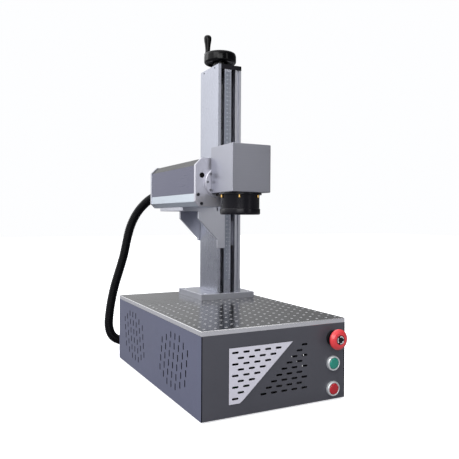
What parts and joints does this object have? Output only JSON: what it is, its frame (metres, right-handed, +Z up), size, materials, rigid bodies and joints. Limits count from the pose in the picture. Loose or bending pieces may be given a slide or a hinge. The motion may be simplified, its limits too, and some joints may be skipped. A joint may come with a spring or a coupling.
{
  "type": "desktop laser marking machine",
  "caption": "Benchtop fibre laser marker: cabinet with drilled worktop, crank-raised column carriage with beam box, galvo head and scan lens.",
  "frame": {"origin": "on the table under the centre of the machine's bounding box, the conduit left out", "axes": "+Z up, -Y towards the operator at the control panel, +X to the operator's right"},
  "size_m": [0.3201, 0.6512, 0.81],
  "materials": {
    "foot_rubber": "matt black rubber",
    "frame_steel": "zinc plated sheet steel",
    "side_paint": "blue-grey powder coat",
    "front_paint": "dark grey powder coat",
    "white_paint": "white powder coat",
    "worktop_metal": "dark polished plate with a brushed bright edge",
    "black_plastic": "black moulded plastic",
    "steel": "ground steel",
    "red_plastic": "glossy red plastic",
    "bezel_metal": "bright plated ring",
    "green_plastic": "green translucent plastic",
    "signal_red": "red translucent plastic",
    "black_aluminium": "black anodised",
    "board_green": "green circuit board",
    "bright_aluminium": "clear anodised, fine machined",
    "column_aluminium": "clear anodised extrusion",
    "scale_print": "etched metal scale",
    "conduit_black": "black ribbed armoured conduit",
    "gloss_black": "glossy black phenolic",
    "brass": "turned brass",
    "cover_paint": "dark blue-grey anodised cover",
    "black_steel": "black oxide socket screws",
    "brushed_aluminium": "brushed and clear anodised",
    "mirror_coat": "coated scan mirror",
    "lens_black": "black anodised lens barrel",
    "lens_glass": "coated lens glass"
  },
  "bodies": {
    "machine": {"rubber_feet": "foot_rubber", "base_frame": "frame_steel", "left_side_panel": "side_paint", "right_side_panel": "side_paint", "front_panel": "front_paint", "vent_trim": "white_paint", "rear_panel": "side_paint", "worktop_plate": "worktop_metal", "estop_collar": "black_plastic", "button_bezels": "bezel_metal", "contact_blocks": "black_plastic", "power_inlet": "black_plastic", "laser_source": "black_aluminium", "power_supply": "frame_steel", "control_board": "board_green", "fan_frame": "black_plastic", "column_base_plate": "bright_aluminium", "base_plate_screws": "steel", "column_housing": "column_aluminium", "right_rail": "bright_aluminium", "rail_cap": "black_plastic", "ruler_cover": "column_aluminium", "ruler_scale": "scale_print", "column_top_cap": "black_aluminium", "screw_bearings": "steel", "guide_rods": "steel", "foot_bracket": "bright_aluminium", "cabinet_gland": "black_plastic", "fibre_cable": "conduit_black"},
    "estop_plunger": {"estop_stem": "steel"},
    "estop_mushroom": {"estop_head": "red_plastic"},
    "start_push": {"start_button": "green_plastic"},
    "stop_push": {"stop_button": "signal_red"},
    "rocker": {"power_rocker": "signal_red"},
    "fan": {"fan_rotor": "black_plastic"},
    "crank": {"lead_screw": "steel", "handwheel": "gloss_black"},
    "grip": {"wheel_grip": "gloss_black"},
    "carriage": {"nut_block": "bright_aluminium", "lead_nut": "brass", "guide_bushes": "steel", "front_gusset": "bright_aluminium", "rear_gusset": "bright_aluminium", "shelf_plate": "bright_aluminium", "beam_box_tray": "column_aluminium", "beam_box_cover": "cover_paint", "adaptor_plate": "bright_aluminium", "box_rear_plate": "bright_aluminium", "beam_flange": "bright_aluminium", "adaptor_screws": "black_steel", "beam_collimator": "black_aluminium", "box_gland": "black_plastic", "galvo_cover": "brushed_aluminium", "galvo_frame": "brushed_aluminium", "galvo_motors": "black_aluminium", "lens_barrel": "lens_black", "lens_glass": "lens_glass", "lens_screws": "brass"},
    "x_scanner": {"x_mirror": "mirror_coat"},
    "y_scanner": {"y_mirror": "mirror_coat"}
  },
  "joints": [
    {"name": "estop_press", "type": "slide", "parent": "machine", "child": "estop_plunger", "axis": [0, 1, 0], "range_m": [0, 0.005]},
    {"name": "estop_twist", "type": "hinge", "parent": "estop_plunger", "child": "estop_mushroom", "pos_m": [0.125, -0.2715, 0.123], "axis": [0, -1, 0], "range_deg": [-45, 0], "stiffness_Nm_per_rad": 0.1},
    {"name": "start_press", "type": "slide", "parent": "machine", "child": "start_push", "axis": [0, 1, 0], "range_m": [0, 0.003], "stiffness_N_per_m": 600, "springref_m": -0.001},
    {"name": "stop_press", "type": "slide", "parent": "machine", "child": "stop_push", "axis": [0, 1, 0], "range_m": [0, 0.003], "stiffness_N_per_m": 600, "springref_m": -0.001},
    {"name": "power_rock", "type": "hinge", "parent": "machine", "child": "rocker", "pos_m": [-0.08, 0.2475, 0.11], "axis": [1, 0, 0], "range_deg": [-12, 12]},
    {"name": "fan_spin", "type": "hinge", "parent": "machine", "child": "fan", "pos_m": [-0.14, 0.1305, 0.08], "axis": [1, 0, 0], "continuous": true},
    {"name": "crank_turn", "type": "hinge", "parent": "machine", "child": "crank", "pos_m": [0.068, 0.138, 0.75], "axis": [0, 0, 1], "range_deg": [-7201, 17281]},
    {"name": "lift_slide", "type": "slide", "parent": "machine", "child": "carriage", "axis": [0, 0, 1], "range_m": [-0.1, 0.24]},
    {"name": "grip_spin", "type": "hinge", "parent": "crank", "child": "grip", "pos_m": [0.04026, 0.15183, 0.79], "axis": [0, 0, 1], "continuous": true},
    {"name": "x_scan", "type": "hinge", "parent": "carriage", "child": "x_scanner", "pos_m": [-0.021, -0.0885, 0.431], "axis": [0, 0, 1], "range_deg": [-12, 12], "stiffness_Nm_per_rad": 0.01},
    {"name": "y_scan", "type": "hinge", "parent": "carriage", "child": "y_scanner", "pos_m": [0.004, -0.0885, 0.431], "axis": [0, 1, 0], "range_deg": [-12, 12], "stiffness_Nm_per_rad": 0.01}
  ],
  "couplings": [
    {"joint": "crank_turn", "follows": "lift_slide", "rad_per_m": 1256.6}
  ]
}
